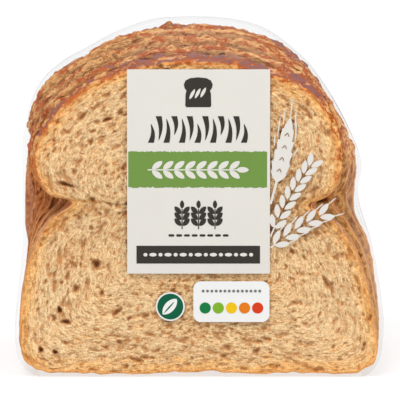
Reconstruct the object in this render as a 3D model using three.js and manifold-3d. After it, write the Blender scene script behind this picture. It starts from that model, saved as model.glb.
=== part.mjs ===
// Half a loaf of sliced wholemeal tiger bread, shut in a tight clear film pack.
// It stands on its base crust. Millimetres, +Z up, and the cut face of the front slice,
// with the printed label over it, looks towards -Y. The origin is under the middle of the pack.

import * as THREE from "three";
import { mergeVertices } from "three/addons/utils/BufferGeometryUtils.js";
import Module from "manifold-3d";

const wasm = await Module();
wasm.setup();

// Driving dimensions

const SLICE_COUNT = 10;
const SLICE_THICKNESS = 11.5;
const FILM_SLACK = 0.8; // room between the outer cut faces and the film
const LOAF_LENGTH = SLICE_COUNT * SLICE_THICKNESS;
const BAG_LENGTH = LOAF_LENGTH + 2 * FILM_SLACK;
const BAG_FRONT_Y = -BAG_LENGTH / 2;
const BAG_BACK_Y = BAG_LENGTH / 2;

const FRONT_EDGE_RADIUS = 1.5;
const BACK_EDGE_RADIUS = 5;
const GROOVE_DEPTH = 0.4; // how far the film dips between two slices

// This end of the loaf is domed: the slices grow over the first GROWTH_LENGTH,
// and the far slices fall away a little again.
const GROWTH_LENGTH = 46;
const GROWTH_POWER = 1.6;
const FAR_FALL = 0.22;

const PRINT_GAP = 0.3;
const PRINT_THICKNESS = 0.4;

const STEPS_PER_FEATURE = 5;
const EDGE_RINGS = 3;
const WELD_DISTANCE = 1e-4;

// The taut film round one slice, as [half width, height] at each feature of the side,
// from the base up. The front slice is the smallest one, and the full slice the largest.
const FRONT_SLICE = {
  crest: 111,
  left: {
    foot: [55, 0],
    corner: [61.9, 5],
    belly: [63.5, 15],
    hip: [60.6, 40],
    waist: [56, 60.5],
    lobe: [58.7, 76],
    brow: [50.6, 94.6],
    crown: [38.6, 103.8],
    top: [22, 109.5],
  },
  right: {
    foot: [57, 0],
    corner: [62, 4.6],
    belly: [63.5, 11],
    hip: [57.4, 41],
    waist: [50.8, 60],
    lobe: [50.6, 77],
    brow: [45.6, 94.4],
    crown: [36.5, 103.2],
    top: [22, 109.4],
  },
};
const FULL_SLICE = {
  crest: 121.6,
  left: {
    foot: [57, 0],
    corner: [64.3, 5.5],
    belly: [66, 16],
    hip: [63.4, 40],
    waist: [62.6, 60],
    lobe: [62.2, 82],
    brow: [56.4, 99.4],
    crown: [38.8, 112.4],
    top: [20, 120],
  },
  right: {
    foot: [57, 0],
    corner: [64.3, 5.5],
    belly: [66, 14],
    hip: [62.4, 40],
    waist: [56.8, 60],
    lobe: [57.6, 71],
    brow: [49.8, 92],
    crown: [37.3, 109.2],
    top: [21, 118.8],
  },
};
const FEATURES = Object.keys(FRONT_SLICE.left);

// The print on the front, in X and Z
const LABEL = { left: -24.7, right: 24.7, bottom: 36.3, top: 106.9 };
const BAND = { left: -24.3, right: 23.7, bottom: 66.1, top: 78.9 };
const STRIP = { left: -21.5, right: 21.3, bottom: 39.8, top: 46 };
const BADGE = { x: -9.8, z: 24.8, radius: 5 };
const PANEL = { left: -1.8, right: 24.6, bottom: 19.4, top: 33.6, corner: 2.6 };

// Each ear grows from the right edge of the label: root, middle and tip of its stalk, then
// the length and width of its grains, their lean from the stalk in radians, how many pairs
// there are, and the share of the stalk that is bare. The first ear is close-set.
const EARS = [
  {
    root: [25.6, 62.8], middle: [28.4, 73], tip: [31.7, 89.2],
    grain: [6.2, 2.7], lean: 0.3, pairs: 6, bare: 0.2,
  },
  {
    root: [25.6, 51.4], middle: [32.4, 65.2], tip: [41.4, 76.6],
    grain: [5.1, 2.1], lean: 0.56, pairs: 7, bare: 0.12,
  },
  {
    root: [25.6, 45.3], middle: [34.5, 53.2], tip: [47.6, 59.6],
    grain: [6, 2.3], lean: 0.42, pairs: 5, bare: 0.12,
  },
];
const STALK_WIDTH = 0.8;
const STALK_STEPS = 10;
const GRAIN_SIDES = 10;

const SEAL = { width: 9, bottom: 6, top: 100 };

// Materials

function material(color, roughness) {
  return new THREE.MeshStandardMaterial({ color, roughness, metalness: 0 });
}

const breadInFilm = material(0xdcb284, 0.35);
const creamPrint = material(0xeae6de, 0.4);
const greenPrint = material(0x779b49, 0.4);
const darkPrint = material(0x3b3732, 0.4);
const badgePrint = material(0x006241, 0.4);
const whitePrint = material(0xffffff, 0.4);
const clearSeal = material(0xf2f2f0, 0.25);

// The bag

// 0 at the front slice and 1 at the largest, by the depth behind the front cut face
function growth(depth) {
  const near = THREE.MathUtils.clamp(depth / GROWTH_LENGTH, 0, 1);
  const far = Math.max(0, depth - GROWTH_LENGTH) / (LOAF_LENGTH - GROWTH_LENGTH);
  return 1 - (1 - near) ** GROWTH_POWER - FAR_FALL * far ** 2;
}

function mixPair(a, b, t) {
  return [THREE.MathUtils.lerp(a[0], b[0], t), THREE.MathUtils.lerp(a[1], b[1], t)];
}

// Closed outline of the film at one growth, seen from the front, from the right foot upwards
function filmOutline(t) {
  const sidePoints = (side, sign) =>
    FEATURES.map((name) => {
      const [half, height] = mixPair(FRONT_SLICE[side][name], FULL_SLICE[side][name], t);
      return new THREE.Vector3(sign * half, height, 0);
    });
  const crest = new THREE.Vector3(0, mixPair([0, FRONT_SLICE.crest], [0, FULL_SLICE.crest], t)[1], 0);
  const base = new THREE.Vector3(0, 0, 0);
  const points = [...sidePoints("right", 1), crest, ...sidePoints("left", -1).reverse(), base];
  const curve = new THREE.CatmullRomCurve3(points, true, "centripetal");
  const steps = points.length * STEPS_PER_FEATURE;
  return Array.from({ length: steps }, (_, i) => curve.getPoint(i / steps)).map(
    (p) => new THREE.Vector2(p.x, Math.max(0, p.y)),
  );
}

// The outline drawn in by a distance, along its own normals
function inset(outline, distance) {
  const count = outline.length;
  return outline.map((point, i) => {
    const before = outline[(i + count - 1) % count];
    const after = outline[(i + 1) % count];
    const along = after.clone().sub(before).normalize();
    return new THREE.Vector2(point.x - along.y * distance, point.y + along.x * distance);
  });
}

// The rings that round off one end, from the flat face to the full outline
function edgeRings(faceY, inwards, radius) {
  return Array.from({ length: EDGE_RINGS + 1 }, (_, i) => {
    const angle = (i / EDGE_RINGS) * (Math.PI / 2);
    return {
      y: faceY + inwards * radius * (1 - Math.cos(angle)),
      draw: radius * (1 - Math.sin(angle)),
      lift: radius * (1 - Math.sin(angle)),
    };
  });
}

// The rings of the bag from front to back: each one's place along Y, how far its outline is
// drawn in, and how far its base is lifted off the table. Grooves leave the base flat.
function bagRings() {
  const front = edgeRings(BAG_FRONT_Y, 1, FRONT_EDGE_RADIUS);
  const back = edgeRings(BAG_BACK_Y, -1, BACK_EDGE_RADIUS).reverse();
  const middle = [];
  for (let i = 1; i < 2 * SLICE_COUNT; i += 1) {
    const y = -LOAF_LENGTH / 2 + (i * SLICE_THICKNESS) / 2;
    const betweenSlices = i % 2 === 0;
    middle.push({ y, draw: betweenSlices ? GROOVE_DEPTH : 0, lift: 0 });
  }
  const clear = middle.filter((ring) => ring.y > front.at(-1).y && ring.y < back[0].y);
  return [...front, ...clear, ...back];
}

function bagGeometry() {
  const rings = bagRings().map(({ y, draw, lift }) => {
    const outline = inset(filmOutline(growth(y - BAG_FRONT_Y)), draw);
    const drop = draw - lift;
    return outline.map((p) => new THREE.Vector3(p.x, y, Math.max(lift, p.y - drop)));
  });
  const count = rings[0].length;
  const positions = rings.flat().flatMap((p) => [p.x, p.y, p.z]);
  const index = [];
  for (let r = 0; r + 1 < rings.length; r += 1) {
    for (let i = 0; i < count; i += 1) {
      const a = r * count + i;
      const b = r * count + ((i + 1) % count);
      index.push(a, a + count, b, b, a + count, b + count);
    }
  }
  const capTriangles = (ring) =>
    THREE.ShapeUtils.triangulateShape(ring.map((p) => new THREE.Vector2(p.x, p.z)), []);
  const lastRing = (rings.length - 1) * count;
  for (const [a, b, c] of capTriangles(rings[0])) {
    index.push(a, b, c);
  }
  for (const [a, b, c] of capTriangles(rings.at(-1))) {
    index.push(lastRing + a, lastRing + c, lastRing + b);
  }
  const geometry = new THREE.BufferGeometry();
  geometry.setAttribute("position", new THREE.Float32BufferAttribute(positions, 3));
  geometry.setIndex(index);
  return geometry;
}

// Flat plates, drawn in X and Z and standing PRINT_GAP in front of the bag or behind it

function plate(shape, nearY) {
  const geometry = new THREE.ExtrudeGeometry(shape, { depth: PRINT_THICKNESS, bevelEnabled: false });
  geometry.rotateX(Math.PI / 2);
  geometry.translate(0, nearY, 0);
  return geometry;
}

const PRINT_Y = BAG_FRONT_Y - PRINT_GAP;
const SEAL_Y = BAG_BACK_Y + PRINT_GAP + PRINT_THICKNESS;

function rectangle({ left, right, bottom, top }, ShapeClass = THREE.Shape) {
  const outline = new ShapeClass();
  outline.moveTo(left, bottom);
  outline.lineTo(right, bottom);
  outline.lineTo(right, top);
  outline.lineTo(left, top);
  outline.closePath();
  return outline;
}

function grown(box, margin) {
  return {
    left: box.left - margin,
    right: box.right + margin,
    bottom: box.bottom - margin,
    top: box.top + margin,
  };
}

function roundedRectangle({ left, right, bottom, top, corner }) {
  const shape = new THREE.Shape();
  shape.moveTo(left + corner, bottom);
  shape.lineTo(right - corner, bottom);
  shape.absarc(right - corner, bottom + corner, corner, -Math.PI / 2, 0);
  shape.absarc(right - corner, top - corner, corner, 0, Math.PI / 2);
  shape.absarc(left + corner, top - corner, corner, Math.PI / 2, Math.PI);
  shape.absarc(left + corner, bottom + corner, corner, Math.PI, 1.5 * Math.PI);
  return shape;
}

// The cream label has one opening for the green band and one for the dark strip
function labelGeometry() {
  const label = rectangle(LABEL);
  label.holes.push(rectangle(grown(BAND, PRINT_GAP / 2), THREE.Path));
  label.holes.push(rectangle(grown(STRIP, PRINT_GAP), THREE.Path));
  return plate(label, PRINT_Y);
}

function badgeGeometry() {
  const shape = new THREE.Shape();
  shape.absarc(BADGE.x, BADGE.z, BADGE.radius, 0, 2 * Math.PI);
  return plate(shape, PRINT_Y);
}

// Solids for joining

function toSolid(geometry) {
  const bare = geometry.clone();
  bare.deleteAttribute("normal");
  bare.deleteAttribute("uv");
  const merged = mergeVertices(bare, WELD_DISTANCE);
  return new wasm.Manifold(
    new wasm.Mesh({
      numProp: 3,
      vertProperties: new Float32Array(merged.attributes.position.array),
      triVerts: new Uint32Array(merged.index.array),
    }),
  );
}

function fromSolid(solid) {
  const mesh = solid.getMesh();
  const geometry = new THREE.BufferGeometry();
  geometry.setAttribute("position", new THREE.BufferAttribute(mesh.vertProperties, 3));
  geometry.setIndex(new THREE.BufferAttribute(mesh.triVerts, 1));
  return geometry;
}

// A leaf-shaped grain with its lower point at the start, pointing along a direction
function grainShape(start, angle, length, width) {
  const along = new THREE.Vector2(Math.cos(angle), Math.sin(angle));
  const across = new THREE.Vector2(-along.y, along.x);
  const points = Array.from({ length: GRAIN_SIDES }, (_, i) => {
    const turn = (i / GRAIN_SIDES) * 2 * Math.PI;
    const reach = (length / 2) * (1 - Math.cos(turn));
    const side = (width / 2) * Math.sin(turn);
    return start.clone().addScaledVector(along, reach).addScaledVector(across, side);
  });
  return new THREE.Shape(points);
}

// A stalk is a thin curved strip
function stalkShape(curve) {
  const points = curve.getPoints(STALK_STEPS);
  const edge = (sign) =>
    points.map((p, i) => {
      const along = curve.getTangent(i / STALK_STEPS);
      const half = (sign * STALK_WIDTH) / 2;
      return new THREE.Vector2(p.x - half * along.y, p.y + half * along.x);
    });
  return new THREE.Shape([...edge(-1), ...edge(1).reverse()]);
}

function earGeometry({ root, middle, tip, grain: [length, width], lean, pairs, bare }) {
  const curve = new THREE.QuadraticBezierCurve(
    new THREE.Vector2(...root),
    new THREE.Vector2(...middle),
    new THREE.Vector2(...tip),
  );
  let ear = toSolid(plate(stalkShape(curve), PRINT_Y));
  for (let pair = 0; pair < pairs; pair += 1) {
    const t = bare + ((1 - bare) * pair) / pairs;
    const heading = curve.getTangent(t).angle();
    for (const side of [-1, 1]) {
      const grain = grainShape(curve.getPoint(t), heading + side * lean, length, width);
      ear = ear.add(toSolid(plate(grain, PRINT_Y)));
    }
  }
  const heading = curve.getTangent(1).angle();
  const start = curve.getPoint(1).addScaledVector(curve.getTangent(1), -length / 2);
  ear = ear.add(toSolid(plate(grainShape(start, heading, length, width), PRINT_Y)));
  return fromSolid(ear);
}

// The strip where the film is welded shut, down the middle of the back
function sealGeometry() {
  const box = { left: -SEAL.width / 2, right: SEAL.width / 2, bottom: SEAL.bottom, top: SEAL.top };
  return plate(rectangle(box), SEAL_Y);
}

// The pack

function node(name, geometry, look) {
  const mesh = new THREE.Mesh(geometry, look);
  mesh.name = name;
  return mesh;
}

const pack = new THREE.Group();
pack.add(node("bread_bag", bagGeometry(), breadInFilm));

const print = new THREE.Group();
print.add(node("label_panel", labelGeometry(), creamPrint));
print.add(node("label_band", plate(rectangle(BAND), PRINT_Y), greenPrint));
print.add(node("label_strip", plate(rectangle(STRIP), PRINT_Y), darkPrint));
print.add(node("round_badge", badgeGeometry(), badgePrint));
print.add(node("dot_panel", plate(roundedRectangle(PANEL), PRINT_Y), whitePrint));
EARS.forEach((ear, i) => {
  print.add(node(`wheat_ear_${i + 1}`, earGeometry(ear), creamPrint));
});
pack.add(print);
pack.add(node("back_seal", sealGeometry(), clearSeal));

export default pack;
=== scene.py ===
# %% [markdown]
# # Half a loaf of sliced tiger bread in its film pack
# The pack stands on the base crust of its slices. Through the tight clear film the open crumb
# of the front slice shows, with the print lying over it, and behind it the crackled crusts of
# the larger slices. Everything is in metres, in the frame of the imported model: +Z is up and
# the front of the pack looks towards -Y.

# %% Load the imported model
import math
import random

import bmesh
import bpy
import numpy as np
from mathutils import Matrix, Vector, noise


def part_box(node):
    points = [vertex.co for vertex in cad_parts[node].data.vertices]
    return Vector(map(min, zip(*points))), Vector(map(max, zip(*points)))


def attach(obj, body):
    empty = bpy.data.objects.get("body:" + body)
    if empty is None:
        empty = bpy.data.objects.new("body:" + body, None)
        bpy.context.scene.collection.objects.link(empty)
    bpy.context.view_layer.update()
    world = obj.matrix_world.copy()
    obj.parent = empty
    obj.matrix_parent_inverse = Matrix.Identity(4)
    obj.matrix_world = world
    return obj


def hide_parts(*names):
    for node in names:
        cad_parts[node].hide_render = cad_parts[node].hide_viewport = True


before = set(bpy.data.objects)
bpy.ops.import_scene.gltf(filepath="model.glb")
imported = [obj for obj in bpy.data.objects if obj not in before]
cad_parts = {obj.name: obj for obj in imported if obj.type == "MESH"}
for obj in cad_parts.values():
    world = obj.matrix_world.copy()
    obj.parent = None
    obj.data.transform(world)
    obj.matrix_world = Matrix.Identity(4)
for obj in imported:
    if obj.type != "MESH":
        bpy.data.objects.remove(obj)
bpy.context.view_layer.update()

MM = 0.001
bag_low, bag_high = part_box("bread_bag")
print("pack, in mm:", [round(v / MM, 1) for v in bag_high - bag_low])

# %% [markdown]
# ## The driving sizes
# A sliced loaf is a row of slices of one thickness. The film stands a little off the two outer
# cut faces, so the length of the bag gives the length of the loaf.

# %% Driving sizes
SLICE_COUNT = 10
FILM_SLACK = 0.8 * MM
LOAF_FRONT = bag_low.y + FILM_SLACK
LOAF_LENGTH = bag_high.y - bag_low.y - 2 * FILM_SLACK
SLICE_THICKNESS = LOAF_LENGTH / SLICE_COUNT
CUT_GAP = 0.08 * MM
BASE_LIFT = 0.8 * MM
HEART = np.array(Vector((-2 * MM, 58 * MM)))
print("slice thickness, in mm:", round(SLICE_THICKNESS / MM, 2))

# %% [markdown]
# ## The outline of a slice
# The side of a tin loaf has a belly, a waist where the dough rose over the rim of the tin, a
# lobe above it and a crown. The outline could be drawn as a picture and traced, but a curve
# through one named point for each of these features keeps the shape readable, and lets the
# front slice and the largest slice be mixed to make every slice between them.

# %% Features of the bread and of the film, as half width and height in mm
# Up each side of the bread: foot, corner, belly, hip, lip, waist, ear, lobe, brow, crown, top.
BREAD_FRONT = {
    "crest": 109.7,
    "left": [(52, 0.8), (60.4, 5.8), (62.1, 15.2), (58.6, 41), (51.8, 54), (43.8, 60.8),
             (52.6, 64), (57.3, 75.8), (48.4, 92.8), (36, 101.8), (17, 108.4)],
    "right": [(54, 0.8), (61, 4.6), (62.1, 10), (55.6, 41), (47.6, 53.4), (38.8, 59.8),
              (46.6, 64.8), (49, 76.5), (44.1, 93.1), (34.6, 101.6), (15.6, 107.8)],
}
BREAD_SECOND = {
    "crest": 112,
    "left": [(52.2, 0.8), (60.7, 5.9), (62.6, 15.3), (59.3, 41), (53.2, 53.8), (45.8, 61),
             (54.2, 64.6), (58, 76.8), (49.4, 93.8), (36.9, 103.2), (17.6, 110.5)],
    "right": [(54, 0.8), (61.3, 4.8), (62.7, 10.2), (56.6, 41), (49.2, 53), (41, 59.8),
              (48.2, 65), (50.2, 76.2), (45.4, 94), (36, 103.4), (16.4, 110.2)],
}
BREAD_FULL = {
    "crest": 120.2,
    "left": [(54, 0.8), (61.8, 6.4), (63, 16), (61.4, 35), (62.4, 50), (62.1, 60),
             (61.2, 72), (60.4, 87), (56.2, 98), (38.8, 110.2), (20, 118.6)],
    "right": [(54, 0.8), (61.8, 6.2), (64, 11), (60.9, 40), (55.5, 53.4), (54.8, 60.4),
              (55.3, 66), (55.6, 72), (47.1, 89.5), (34.9, 106.6), (17.3, 117.8)],
}
# Up each side of the film: foot, corner, belly, hip, waist, lobe, brow, crown, top.
FILM_FRONT = {
    "crest": 111,
    "left": [(55, 0), (61.9, 5), (63.5, 15), (60.6, 40), (56, 60.5), (58.7, 76),
             (50.6, 94.6), (38.6, 103.8), (22, 109.5)],
    "right": [(57, 0), (62, 4.6), (63.5, 11), (57.4, 41), (50.8, 60), (50.6, 77),
              (45.6, 94.4), (36.5, 103.2), (22, 109.4)],
}
FILM_FULL = {
    "crest": 121.6,
    "left": [(57, 0), (64, 5.5), (65.2, 16), (62.9, 39), (62.6, 60), (62.2, 82),
             (56.4, 99.4), (38.4, 111.4), (20, 119.8)],
    "right": [(57, 0), (64.3, 5.5), (66, 14), (62.4, 40), (56.9, 60), (58.1, 71),
              (49.1, 91.4), (36.2, 107.9), (21, 118.4)],
}
PACES_UP = {
    "left": ["low"] * 4 + ["left"] * 3 + ["crown"] * 4,
    "right": ["low"] * 3 + ["right"] * 5 + ["crown"] * 3,
}
OUTLINE_STEPS = 480
FILM_STEPS = 240
BASE_HOLLOW = 0.7


def smooth_closed(points, count):
    """A centripetal Catmull-Rom curve through closed points, as count places on it."""
    place = np.arange(count) * len(points) / count
    k = place.astype(int)
    u = (place - k)[:, None]
    p = [points[(k + step) % len(points)] for step in (-1, 0, 1, 2)]
    d = [np.linalg.norm(p[i + 1] - p[i], axis=1)[:, None] ** 0.5 for i in range(3)]
    start, end = (d[1] * ((p[i] - p[i - 1]) / d[i - 1] - (p[i + 1] - p[i - 1]) / (d[i - 1] + d[i])
                          + (p[i + 1] - p[i]) / d[i]) for i in (1, 2))
    cubic = 2 * p[1] - 2 * p[2] + start + end
    square = -3 * p[1] + 3 * p[2] - 2 * start - end
    return cubic * u**3 + square * u**2 + start * u + p[1]


def between(first, last, shares, low, hollow, steps):
    """The outline between two others, with a share for each feature, from the right foot up."""
    right, left, crest = (
        (np.array(first[part]).T * (1 - shares[part]) + np.array(last[part]).T * shares[part]).T
        for part in ("right", "left", "crest"))
    middle_of_base = (0, low / MM + hollow)
    points = np.array([*right, (0, crest), *(left[::-1] * (-1, 1)), middle_of_base]) * MM
    outline = smooth_closed(points, steps)
    outline[:, 1] = np.maximum(outline[:, 1], low)
    return outline


def bread_outline(first, last, paces):
    """The bread's outline between two others, each part of it at a pace of its own."""
    shares = {side: np.array([paces[name] for name in names]) for side, names in PACES_UP.items()}
    shares["crest"] = paces["crown"]
    return between(first, last, shares, BASE_LIFT, BASE_HOLLOW, OUTLINE_STEPS)


def film_outline(share):
    shares = dict.fromkeys(("right", "left", "crest"), share)
    return between(FILM_FRONT, FILM_FULL, shares, 0, 0, FILM_STEPS)


print("features up a side:", len(BREAD_FULL["left"]), "of bread,", len(FILM_FULL["left"]), "of film")

# %% [markdown]
# ## How the slices grow
# This end of the loaf is domed, so the slices grow quickly over the first few and fall away a
# little at the far end. The crown, the two sides and the base each grow at a pace of their own.
# A slice's own crust rises less than the step to the next slice, because the slices have
# settled against each other, and so a rim of crumb shows above each crust.

# %% Growth from the front slice to the largest
GROWTH_LENGTH = 46 * MM
GROWTH_POWER = 1.6
FAR_FALL = 0.22
SLICE_PACES = {
    # from the back of the front slice, 0, to the largest outline, 1, for slices 2 to 10
    "low": (0.30, 0.60, 0.85, 1.0, 0.97, 0.93, 0.89, 0.84, 0.80),
    "left": (0.16, 0.35, 0.55, 0.77, 1.0, 0.98, 0.95, 0.92, 0.90),
    "right": (0.42, 0.80, 1.0, 1.0, 0.96, 0.92, 0.88, 0.84, 0.80),
    "crown": (0.20, 0.54, 0.87, 0.79, 0.72, 0.64, 0.56, 0.49, 0.41),
}
CRUST_SLOPES = {"low": 0.15, "left": 0.2, "right": 0.15, "crown": 0.15}


def growth(depth):
    """Growth of the film at a depth behind the front."""
    near = min(max(depth / GROWTH_LENGTH, 0), 1)
    far = max(0, depth - GROWTH_LENGTH) / (LOAF_LENGTH - GROWTH_LENGTH)
    return 1 - (1 - near) ** GROWTH_POWER - FAR_FALL * far**2


def slice_outlines(index):
    """Outlines of a slice's front face and of its back."""
    if index == 0:
        still = dict.fromkeys(SLICE_PACES, 0)
        return [bread_outline(BREAD_FRONT, BREAD_SECOND, still),
                bread_outline(BREAD_SECOND, BREAD_FULL, still)]
    front = {name: row[index - 1] for name, row in SLICE_PACES.items()}
    back = {name: front[name] + CRUST_SLOPES[name] * (row[min(index, len(row) - 1)] - front[name])
            for name, row in SLICE_PACES.items()}
    return [bread_outline(BREAD_SECOND, BREAD_FULL, paces) for paces in (front, back)]


print("film's growth at each front face:",
      [round(growth(i * SLICE_THICKNESS), 2) for i in range(SLICE_COUNT)])

# %% [markdown]
# ## Lofting helpers
# Every form of the pack can be lofted along Y: a filled ring of vertices is extruded from ring
# to ring, each moved onto its own outline, and the last one is filled. Slices, film and print
# all start like this. A slice is then covered with small even squares by a voxel remesh, as
# squares of one size can carry pores anywhere.

# %% Loft, remesh and refine
SLICE_VOXEL = {True: 0.88 * MM, False: 1.1 * MM}  # for an outer slice, and for an inner one
NEARLY_FLAT = 0.05


def lay(verts, y, outline):
    """Moves a ring of vertices onto an outline, at one place along Y."""
    for vert, (x, z) in zip(verts, outline):
        vert.co = (x, y, z)


def add_loft(bm, rings):
    """A closed solid through rings, each given as its place along Y and its outline.

    Edges are kept in a dict, which unlike a set has the same order in each run.
    """
    verts = bmesh.ops.create_circle(bm, cap_ends=True, segments=len(rings[0][1]), radius=1)["verts"]
    lay(verts, *rings[0])
    for ring in rings[1:]:
        last = set(verts)
        edges = dict.fromkeys(e for v in verts for e in v.link_edges if e.other_vert(v) in last)
        grown = bmesh.ops.extrude_edge_only(bm, edges=list(edges))["geom"]
        fresh = {g for g in grown if isinstance(g, bmesh.types.BMVert)}
        verts = [next(e.other_vert(v) for e in v.link_edges if e.other_vert(v) in fresh)
                 for v in verts]
        lay(verts, *ring)
    bmesh.ops.contextual_create(bm, geom=verts)


def finished(bm, name):
    bmesh.ops.recalc_face_normals(bm, faces=list(bm.faces))
    mesh = bpy.data.meshes.new(name)
    bm.to_mesh(mesh)
    bm.free()
    return mesh


def new_object(name, data):
    made = bpy.data.objects.new(name, data)
    bpy.context.scene.collection.objects.link(made)
    return made


def as_piece(mesh, name, material, slot, node):
    """Puts a mesh in the scene as a piece that stands for a node."""
    mesh.name = name
    mesh.materials.append(material)
    piece = new_object(name, mesh)
    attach(piece, "root")
    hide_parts(node)


def remeshed(mesh, voxel):
    """The same solid in even small squares."""
    stand_in = new_object("remesh_stand_in", mesh)
    modifier = stand_in.modifiers.new("even_squares", "REMESH")
    modifier.mode = "VOXEL"
    modifier.voxel_size = voxel
    depsgraph = bpy.context.evaluated_depsgraph_get()
    result = bpy.data.meshes.new_from_object(stand_in.evaluated_get(depsgraph))
    bpy.data.objects.remove(stand_in)
    bpy.data.meshes.remove(mesh)
    return result


def refined(mesh, wanted, plain):
    """Cuts the faces that are wanted finer into four, and joins the plain ones into one."""
    bm = bmesh.new()
    bm.from_mesh(mesh)
    flat = [v for v in bm.verts if plain(v.co, v.normal)]
    if flat:
        inside = set(flat)
        edges = [e for e in bm.edges if inside.issuperset(e.verts)]
        bmesh.ops.dissolve_limit(bm, angle_limit=NEARLY_FLAT, verts=flat, edges=edges)
    chosen = [f for f in bm.faces if len(f.verts) < 6 and wanted(f.calc_center_median(), f.normal)]
    edges = dict.fromkeys(e for f in chosen for e in f.edges)
    bmesh.ops.subdivide_edges(bm, edges=list(edges), cuts=1, use_grid_fill=True)
    bm.to_mesh(mesh)
    bm.free()


def triangle_count(mesh):
    return sum(len(p.vertices) - 2 for p in mesh.polygons)


# %% [markdown]
# ## Where a point lies in its slice
# The crumb's pores follow the crust: they are drawn out along it near the rim and rounder in
# the middle. Scaled copies of the outline round the slice's heart give that direction
# everywhere, as rings in a tree trunk do. Each point gets its turn round the heart, its share
# of the way out, its distance from the crust, and the direction of the ring there.

# %% Rings of a slice
def headings(outline):
    along = np.roll(outline, -1, axis=0) - np.roll(outline, 1, axis=0)
    return along / np.linalg.norm(along, axis=1)[:, None]


def polar(xz):
    """Turn round the heart, and distance from it."""
    x, z = (xz - HEART).T
    return np.arctan2(z, x), np.hypot(x, z)


def ring_table(outline):
    """Turn, radius and heading along an outline, sorted by turn round the heart."""
    turn, radius = polar(outline)
    order = np.argsort(turn)
    return turn[order], radius[order], headings(outline)[order]


def at_turns(turn, turn_at, *rows):
    return [np.interp(turn, turn_at, row, period=2 * math.pi) for row in rows]


def place_in_rings(xz, table):
    turn_at, radius_at, along_at = table
    turn, radius = polar(xz)
    rim, along_x, along_z = at_turns(turn, turn_at, radius_at, *along_at.T)
    along = np.stack((along_x, along_z), axis=1) / (np.hypot(along_x, along_z) + 1e-9)[:, None]
    away = xz - HEART
    slant = np.abs(away[:, 0] * along[:, 1] - away[:, 1] * along[:, 0]) / (radius + 1e-9)
    return turn, radius / rim, (rim - radius) * slant, along


print("rings are drawn round the heart, in mm:", [round(v / MM, 1) for v in HEART])

# %% [markdown]
# ## Pores
# A pore is an uneven bowl in the cut face, with its long side along the ring. Most are finer
# than a grain of rice and a few are as large as a lentil. Where two meet, the deeper one
# counts, which leaves thin walls between them as in real crumb. The deepest ones of the first
# two slices have their own places, because those are what one would know this loaf by.

# %% Pores of a cut face
PORE_WIDTH = 0.37 * MM
PORE_SPREAD = 0.42
PORE_LEAST = 0.32 * MM
PORE_MOST = 1.1 * MM
PORE_DEEPEST = 2.4 * MM
# how many pores an outer and an inner slice have, and the share of the way out where they start
PORE_SCATTER = {True: (5600, 0.05), False: (3600, 0.72)}
HOLES = {
    # by slice: x and z, half length and half width in mm, degrees from level, depth in mm
    0: ((-40.3, 90.7, 1.9, 0.8, 35, 1.7), (-31.8, 98.1, 1.7, 0.7, 25, 1.2),
        (-35.1, 88.9, 1.2, 0.8, 10, 1.3), (-31.6, 89.7, 1.7, 0.8, 20, 2.0),
        (-37.3, 82.0, 0.9, 1.1, 0, 1.6), (-33.6, 82.2, 1.0, 0.7, 0, 1.2),
        (-40.2, 80.4, 1.5, 1.2, 0, 0.8), (-41.3, 85.1, 1.2, 0.8, 30, 0.9),
        (-45.3, 85.7, 1.0, 0.5, 30, 1.0), (-46.1, 67.2, 2.9, 0.8, -14, 2.2),
        (-46.7, 54.2, 1.7, 0.6, 62, 1.4), (-45.8, 50.9, 1.2, 0.5, 50, 1.1),
        (-48.2, 41.0, 2.2, 0.8, 80, 1.1), (-50.1, 35.8, 1.5, 0.6, 86, 1.2),
        (-45.5, 35.2, 1.4, 0.8, 84, 1.4), (-47.6, 33.0, 0.7, 0.5, 80, 1.2),
        (-50.2, 30.6, 1.5, 0.5, 84, 1.0), (-48.3, 23.4, 1.2, 0.9, 75, 2.4),
        (-45.1, 25.0, 1.7, 1.2, 60, 0.9), (-46.2, 19.2, 2.2, 0.7, -8, 2.2),
        (-54.8, 9.4, 1.0, 0.9, 20, 2.4), (-49.9, 8.6, 0.9, 0.7, -10, 2.4),
        (-46.4, 12.0, 1.4, 0.5, -14, 1.4), (-35.5, 39.4, 1.9, 1.3, -35, 2.2),
        (-38.6, 32.5, 0.9, 1.6, 10, 1.3), (40.2, 65.4, 1.6, 0.7, 45, 1.6),
        (40.9, 50.3, 1.6, 0.7, -50, 1.4), (33.6, 26.0, 1.4, 0.8, 10, 1.3),
        (46.4, 30.5, 1.2, 0.7, 100, 1.3), (20.5, 12.4, 1.7, 0.7, 0, 1.2),
        (40.1, 60.1, 2.1, 0.9, 10, 2.4)),
    1: ((42.4, 60.6, 2.5, 1.1, 8, 2.6), (45.2, 63.2, 1.6, 0.8, 40, 1.6)),
}


def hole(x, z, half_length, half_width, level, depth):
    return (x * MM, z * MM, 1.1 * half_length * MM, 1.25 * half_width * MM, math.radians(level),
            depth * MM, x + z)


def scatter_pores(draw, table, count, inner_share):
    """Random pores as rows of centre, half length, half width, heading, depth and wobble."""
    turns = np.array([draw.uniform(-math.pi, math.pi) for _ in range(count)])
    shares = np.array([math.sqrt(draw.uniform(inner_share**2, 0.985)) for _ in range(count)])
    radii = at_turns(turns, *table[:2])[0] * shares
    centres = np.stack((np.cos(turns), np.sin(turns)), axis=1) * radii[:, None] + HEART
    _, _, rim, along = place_in_rings(centres, table)
    rows = []
    for i in range(count):
        half_width = PORE_WIDTH * math.exp(draw.gauss(0, PORE_SPREAD))
        half_width = min(max(half_width, PORE_LEAST), PORE_MOST)
        stretch = 1.1 + draw.random() ** 2 * (2.2 * shares[i] ** 2 + 0.6)
        heading = math.atan2(along[i, 1], along[i, 0]) + draw.gauss(0, 0.3)
        depth = half_width * draw.uniform(0.6, 1.7) * min(1, 0.6 + rim[i] / (4 * MM))
        rows.append((*centres[i], half_width * stretch, half_width, heading, depth,
                     draw.uniform(0, 2 * math.pi)))
    return rows


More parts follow.
